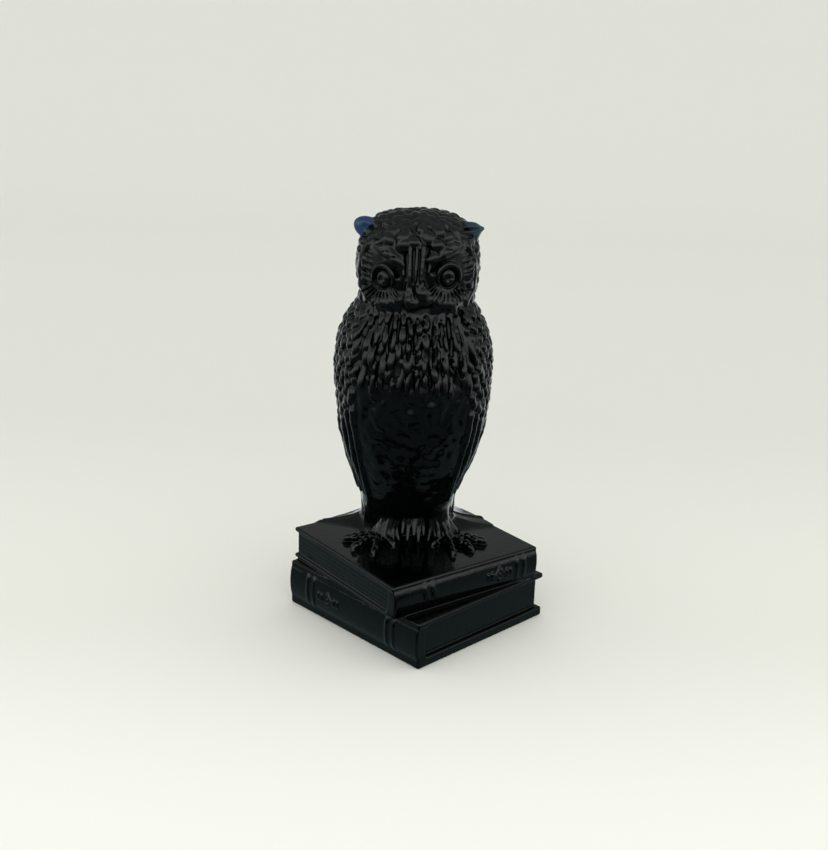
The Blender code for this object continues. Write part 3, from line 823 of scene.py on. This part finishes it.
def name_plumage(names, x, y, z):
    turn = np.degrees(np.arctan2(x - AXIS_X, AXIS_Y - y))
    lean = np.interp(z, (27.0, 52.0, 68.0), (2.0, 0.0, 10.0))
    for side, hand in HANDS:
        outer = (turn * side < 156) & (z > 37.0) & (z < NECK - 1.2)
        outer |= (turn * side < 104) & (z > 27.5) & (z <= 37.0)
        mark(names, hand + "_wing", outer & (turn * side > WING_EDGE + lean))
    mark(names, "owl_tail", (np.abs(turn) > 108) & (z < 36.5))
    mark(names, "owl_head", z > NECK)


def name_face(names, x, y, z):
    front = y < AXIS_Y - 3.5
    raised = form(x, y, z)
    for side, hand in HANDS:
        across = (x - HEAD_X) * side
        mark(names, hand + "_ear_tuft", (across > 9.2) & (z > 82.4) & (raised > 0.5) & (y < AXIS_Y + 1.0))
        mark(names, hand + "_brow", front & (along_band(across, z, BROWS[side]) < 0.05))
        eye_x, eye_z = EYES[side]
        from_eye = np.hypot(across - side * eye_x, (z - eye_z) / EYE_STRETCH)
        mark(names, hand + "_eye", front & (from_eye < 2.65))
    on_beak = front & (np.abs(x - HEAD_X + 1.5) < 1.35) & (z > NECK + 0.3) & (z < 74.9)
    mark(names, "beak", on_beak & (raised > 0.45))


def name_feet(names, x, y, z):
    for side, hand in HANDS:
        stance = (x - FEET_X) * side
        on_leg = (stance > 1.9) & (stance < 11.5) & (y < AXIS_Y - 1.0) & (z < 24.2)
        mark(names, hand + "_leg", on_leg & (z >= BOOK_TOP + 1.9))
        mark(names, hand + "_foot", (stance > 1.9) & (y < AXIS_Y + 1.5) & (z < BOOK_TOP + 1.9))


def name_books(names, x, y, z):
    mark(names, "upper_book_cover", z < BOOK_TOP + np.interp(y, (1.0, 6.0), (0.3, 2.6)))
    mark(names, "lower_book_cover", z < BOOK_SPLIT)
    for book, name in ((UPPER, "upper_book_pages"), (LOWER, "lower_book_pages")):
        u, v = book_coordinates(book, x, y)
        level = z - dip(book, x, y, z)
        between = (level > book.low + book.bottom_board) & (level < book.high - book.top_board)
        open_side = (np.abs(u) > book.half_length - 1.8) | (v > book.half_width - 1.8)
        mark(names, name, between & open_side & (v > 2.2 - book.half_width))


def name_places(where):
    """The node that each place on the skin belongs to, as its number in NODES."""
    names = np.zeros(len(where), int)
    for name_part in (name_plumage, name_face, name_feet, name_books):
        name_part(names, *where.T)
    return names


def edges_of(quads):
    return np.stack((quads, np.roll(quads, -1, axis=1)), axis=2).reshape(-1, 2)


def neighbours(quads):
    """Pairs of faces that share an edge."""
    edges = np.sort(edges_of(quads), axis=1)
    keys = edges[:, 0] * (quads.max() + 1) + edges[:, 1]
    order = np.argsort(keys, kind="stable")
    owners = order // 4
    same = keys[order][:-1] == keys[order][1:]
    return owners[:-1][same], owners[1:][same]


def settle(names, quads):
    """Hands small islands over to the pieces around them."""
    smallest = SMALLEST_PATCH / clay.step**2
    first, second = neighbours(quads)
    for _ in range(4):
        island = np.arange(len(quads))
        alike = names[first] == names[second]
        a, b = first[alike], second[alike]
        while True:
            before = island.copy()
            np.minimum.at(island, a, island[b])
            np.minimum.at(island, b, island[a])
            island = island[island]
            if np.array_equal(island, before):
                break
        small = np.bincount(island, minlength=len(quads))[island] < smallest
        if not small.any():
            break
        for near, far in ((first, second), (second, first)):
            lost = ~alike & small[near] & ~small[far]
            adopt = np.full(len(quads), -1)
            adopt[island[near[lost]]] = names[far[lost]]
            names = np.where(adopt[island] >= 0, adopt[island], names)
    return names


def rim_of(quads):
    """The one-sided edges of a patch of the skin."""
    edges = edges_of(quads)
    stride = edges.max() + 1
    forward, backward = edges[:, 0] * stride + edges[:, 1], np.sort(edges[:, 1] * stride + edges[:, 0])
    keys, first, uses = np.unique(forward, return_index=True, return_counts=True)
    answers = np.searchsorted(backward, keys, "right") - np.searchsorted(backward, keys, "left")
    return np.repeat(edges[first], np.maximum(uses - answers, 0), axis=0)


def hub_within(ring):
    """A point in the clay from which a ring of the skin is seen through clay only, as far as possible."""
    middle = ring.mean(axis=0)
    inward = -outward_at(ring).mean(axis=0)
    reach = np.linalg.norm(ring - middle, axis=1).mean()
    core = np.array((AXIS_X, AXIS_Y, middle[2] if middle[2] > BOOK_TOP + 4 else BOOK_TOP - 5))
    choices = [middle + inward * reach * depth for depth in (0.05, 0.15, 0.3, 0.5, 0.8)]
    choices += [middle + (core - middle) * share for share in (0.15, 0.3, 0.5, 0.8)]
    for shift in np.ndindex(5, 5, 5):
        choices.append(middle + (np.array(shift) - 2) * 0.15 * np.ptp(ring, axis=0))
    sample = ring[::1 + len(ring) // 300]

    def exposed(hub):
        spots = np.concatenate([sample + (hub - sample) * share for share in (0.1, 0.25, 0.5, 0.75, 1.0)])
        i, j, k = np.rint((spots - clay.low) / clay.step).astype(int).T
        return np.maximum(clay.field[i, j, k] + 0.05, 0).sum()

    return min(choices, key=exposed)


def closed(quads):
    """A patch of the skin with each opening closed by a fan: its points and faces."""
    rim = rim_of(quads)
    onward = {}
    for start, end in rim.tolist():
        onward.setdefault(start, []).append(end)
    ids, corners = np.unique(quads, return_inverse=True)
    number = dict(zip(ids.tolist(), range(len(ids))))
    places = [*points[ids]]
    faces = corners.reshape(-1, 4).tolist()
    while onward:
        start = next(iter(onward))
        loop = [start]
        while True:
            ends = onward[loop[-1]]
            step = ends.pop()
            if not ends:
                del onward[loop[-1]]
            if step == start:
                break
            loop.append(step)
        places.append(hub_within(points[loop]))
        hub_number = len(places) - 1
        for a, b in zip(loop, loop[1:] + loop[:1]):
            faces.append((number[b], number[a], hub_number))
    return np.array(places), faces


def put_in_scene(name, data):
    obj = bpy.data.objects.new(name, data)
    bpy.context.scene.collection.objects.link(obj)
    return obj


def make_piece(name, quads, material):
    """One closed piece of the skin, smooth across its borders with the others."""
    places, faces = closed(quads)
    mesh = bpy.data.meshes.new(name)
    mesh.from_pydata((places * MM).tolist(), [], faces)
    mesh.shade_smooth()
    mesh.normals_split_custom_set_from_vertices(outward_at(places).tolist())
    mesh.materials.append(material)
    return put_in_scene(name, mesh)


# --- Materials ---


class Nodes:
    """Short words for building a node tree."""

    def __init__(self, tree):
        self.tree = tree

    def fill(self, node, inputs):
        """Sets or links a node's inputs, given by name or number."""
        for key, value in inputs.items():
            if isinstance(value, bpy.types.NodeSocket):
                self.tree.links.new(value, node.inputs[key])
            else:
                node.inputs[key].default_value = value

    def add(self, kind, inputs, **settings):
        """A new node's outputs."""
        node = self.tree.nodes.new("ShaderNode" + kind)
        for key, value in settings.items():
            setattr(node, key, value)
        self.fill(node, inputs)
        return node.outputs

    def math(self, operation, *values):
        return self.add("Math", dict(enumerate(values)), operation=operation)[0]

    def total(self, *values):
        return reduce(lambda a, b: self.math("ADD", a, b), values)

    def product(self, *values):
        return reduce(lambda a, b: self.math("MULTIPLY", a, b), values)

    def ramp(self, *values):
        """A soft step of a value from low to high, between 0 and 1 if no other two results are given."""
        return self.add("MapRange", dict(enumerate(values)), interpolation_type="SMOOTHSTEP")["Result"]

    def noise(self, scale, detail):
        place = self.add("TexCoord", {})["Object"]
        return self.add("TexNoise", {"Scale": scale, "Detail": detail, "Vector": place})["Fac"]

    def mix(self, share, first, second):
        return self.add("Mix", {"Factor": share, "A": first, "B": second}, data_type="RGBA")["Result"]

    def glossy(self):
        return self.add("LightPath", {})["Is Glossy Ray"]


def new_material(name):
    """A material, its nodes and its shader."""
    material = bpy.data.materials.new(name)
    material.use_nodes = True
    return material, Nodes(material.node_tree), material.node_tree.nodes["Principled BSDF"]


def glass(name, dark, light):
    """Glossy glass, almost opaque: two depths of colour, fire-polished ripples and a little handling haze."""
    material, nodes, shader = new_material(name)
    # Painted shade: where ambient occlusion finds crevices, the reflections are dimmed almost to nothing,
    # which makes the grooves black.
    crevice_shade = nodes.add("AmbientOcclusion", {"Distance": 0.0012}, samples=6)["AO"]
    ripple = nodes.add("Bump", {"Strength": 0.35, "Distance": 0.00012, "Height": nodes.noise(900, 2)})
    nodes.fill(shader, {
        "Base Color": nodes.mix(nodes.ramp(nodes.noise(140, 3), 0.35, 0.7), (*dark, 1), (*light, 1)),
        "Roughness": nodes.ramp(nodes.noise(420, 4), 0.3, 0.75, 0.05, 0.15),
        "IOR": 1.52,
        # Painted shade in crevices: less reflection where the occlusion is deep.
        "Specular IOR Level": nodes.ramp(crevice_shade, 0.4, 0.93, 0.024, 0.24),
        "Normal": ripple["Normal"],
    })
    return material


DARK = glass("dark_glass", (0.0001, 0.0003, 0.0003), (0.0005, 0.0010, 0.0011))
# Painted light: the ear tufts' blue and teal stand in for light shining through their thin cupped glass,
# which is itself a dark blue. The owl's right tuft is painted brighter as the more backlit one.
BACKLIT_BLUE = glass("blue_glass", (0.010, 0.027, 0.075), (0.024, 0.052, 0.13))
THROUGH_LIT_TEAL = glass("through_lit_teal_glass", (0.006, 0.016, 0.028), (0.02, 0.045, 0.06))

points, quads = polygonise()
belongs = settle(name_places(points[quads].mean(axis=1)), quads)
for number, node in enumerate(NODES):
    # The ear tufts get the colours with painted light shining through them.
    material = {"right_ear_tuft": BACKLIT_BLUE, "left_ear_tuft": THROUGH_LIT_TEAL}.get(node, DARK)
    patch = quads[belongs == number]
    piece = make_piece("seen_" + node, patch, material)
    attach(piece, "root")
    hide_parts(node)


# --- Studio ---

# Painted shadow: the floor is darker under and behind the object than near the camera. Painted shade: the
# wall is darker low down, where less light reaches it.
FLOOR_NEAR, FLOOR_SHADOW_UNDER = (0.925, 0.93, 0.88, 1), (0.80, 0.81, 0.76, 1)
WALL_SHADE_LOW, WALL_HIGH = (0.72, 0.73, 0.69, 1), (0.90, 0.905, 0.86, 1)
GREEN_GLOW, PALE_GLOW = (0.72, 1.0, 0.98, 1), (0.92, 1.0, 0.97, 1)
DOME = 1.1  # how bright the surroundings are
CAMERA_PLACE = (-1.44, -243.1, 121.1)  # millimetres
CAMERA_PITCH, CAMERA_ROLL = 0.3108, 0.03227  # radians


def sweep_mesh():
    """A floor that curves up into a wall far behind the object."""
    mesh = bpy.data.meshes.new("sweep")
    turns = np.linspace(0.1, math.pi / 2, 14)
    bend = [(0.55 + 0.35 * math.sin(a), 0.35 - 0.35 * math.cos(a)) for a in turns]
    profile = [(-2.0, 0.0), (0.55, 0.0), *bend, (0.9, 2.4)]
    verts = [(x, y, z) for y, z in profile for x in (-3.0, 3.0)]
    faces = [(2 * k, 2 * k + 1, 2 * k + 3, 2 * k + 2) for k in range(len(profile) - 1)]
    mesh.from_pydata(verts, [], faces)
    mesh.shade_smooth()
    return mesh


def paper_colour(nodes, depth, height):
    # Painted shade: the wall darkens towards its foot, and the floor darkens from its near edge to under the
    # object.
    wall = nodes.mix(nodes.ramp(height, 0.1, 0.7), WALL_SHADE_LOW, WALL_HIGH)
    floor = nodes.mix(nodes.ramp(depth, -0.085, 0.0), FLOOR_NEAR, FLOOR_SHADOW_UNDER)
    return nodes.mix(nodes.ramp(depth, 0.0, 0.15), floor, wall)


def paper_in_glass(nodes, position, across, depth, height):
    """How the glass sees the paper: dim green at the sides, nearly black close in front, bright far out."""
    beside = nodes.total(nodes.math("ABSOLUTE", across), nodes.product(depth, 0.9))
    near, out = nodes.ramp(depth, -0.05, -0.073, -0.26, -0.06), nodes.ramp(depth, -0.13, -0.19, 0.0, -0.09)
    shade = nodes.total(near, out)
    ahead = nodes.product(nodes.ramp(depth, -0.035, -0.05), nodes.ramp(beside, 0.06, 0.0), shade)
    distance = nodes.add("VectorMath", {0: position}, operation="LENGTH")["Value"]
    far = nodes.product(nodes.ramp(distance, 0.26, 0.50), nodes.ramp(depth, 0.05, -0.05))
    wall = nodes.product(nodes.ramp(height, 0.02, 0.15), 0.07)
    behind = nodes.product(nodes.ramp(depth, 0.02, 0.08), nodes.ramp(height, 0.15, 0.02))
    pale = nodes.math("MAXIMUM", far, nodes.ramp(depth, 0.0, 0.08))
    colour = nodes.mix(pale, GREEN_GLOW, PALE_GLOW)
    strength = nodes.total(wall, 0.27, behind, ahead, nodes.product(far, 0.4))
    return nodes.add("Emission", {"Color": colour, "Strength": strength})["Emission"]


def paper():
    """Pale matt paper, which is seen in the glass with a light of its own."""
    material, nodes, shader = new_material("paper")
    position = nodes.add("NewGeometry", {})["Position"]
    across, depth, height = nodes.add("SeparateXYZ", {0: position})
    colour = paper_colour(nodes, depth, height)
    nodes.fill(shader, {"Base Color": colour, "Roughness": 0.9, "Specular IOR Level": 0.0})
    reflected = paper_in_glass(nodes, position, across, depth, height)
    seen = nodes.add("MixShader", {"Fac": nodes.glossy(), 1: shader.outputs["BSDF"], 2: reflected})
    nodes.fill(material.node_tree.nodes["Material Output"], {"Surface": seen["Shader"]})
    return material


def build_stage():
    sweep = put_in_scene("sweep", sweep_mesh())
    sweep.data.materials.append(paper())


def build_world():
    """White surroundings. In the glass they are a softbox overhead, pale sides and back, and a dark front."""
    world = bpy.data.worlds.new("studio")
    bpy.context.scene.world = world
    world.use_nodes = True
    nodes = Nodes(world.node_tree)
    x, y, z = nodes.add("SeparateXYZ", {0: nodes.add("TexCoord", {})["Generated"]})
    front = nodes.total(nodes.ramp(z, -0.06, -0.03, 0.0, 0.3), nodes.ramp(z, -0.02, 0.22, 0.0, 0.7))
    front = nodes.product(front, nodes.ramp(y, 0.05, -0.15))
    overhead = nodes.math("MAXIMUM", nodes.ramp(z, 0.55, 0.66), front)
    overhead = nodes.product(overhead, nodes.ramp(z, 0.35, 0.8, 2.2, 0.7))
    aside = nodes.product(nodes.ramp(nodes.math("ABSOLUTE", x), 0.60, 0.80), nodes.ramp(z, 0.5, 0.35))
    behind = nodes.product(nodes.ramp(y, 0.0, 0.4), nodes.ramp(z, 0.26, 0.17), 1.2)
    seen = nodes.total(nodes.math("MAXIMUM", overhead, nodes.total(aside, behind)), 0.04)
    glossy = nodes.glossy()
    strength = nodes.total(nodes.product(glossy, nodes.math("SUBTRACT", seen, DOME)), DOME)
    colour = nodes.mix(glossy, (1, 1, 0.985, 1), (0.91, 1, 0.97, 1))
    nodes.fill(world.node_tree.nodes["Background"], {"Strength": strength, "Color": colour})


def build_camera():
    data = bpy.data.cameras.new("camera")
    data.lens, data.sensor_width, data.sensor_fit = 50.8, 36.0, "AUTO"
    data.clip_start, data.clip_end = 0.01, 10.0
    camera = put_in_scene("camera", data)
    turn = Matrix.Rotation(math.pi / 2 - CAMERA_PITCH, 3, "X") @ Matrix.Rotation(CAMERA_ROLL, 3, "Z")
    camera.location = [c * MM for c in CAMERA_PLACE]
    camera.rotation_euler = turn.to_euler()
    bpy.context.scene.camera = camera


build_stage()
build_world()
build_camera()
bpy.context.scene.view_settings.view_transform = "Standard"
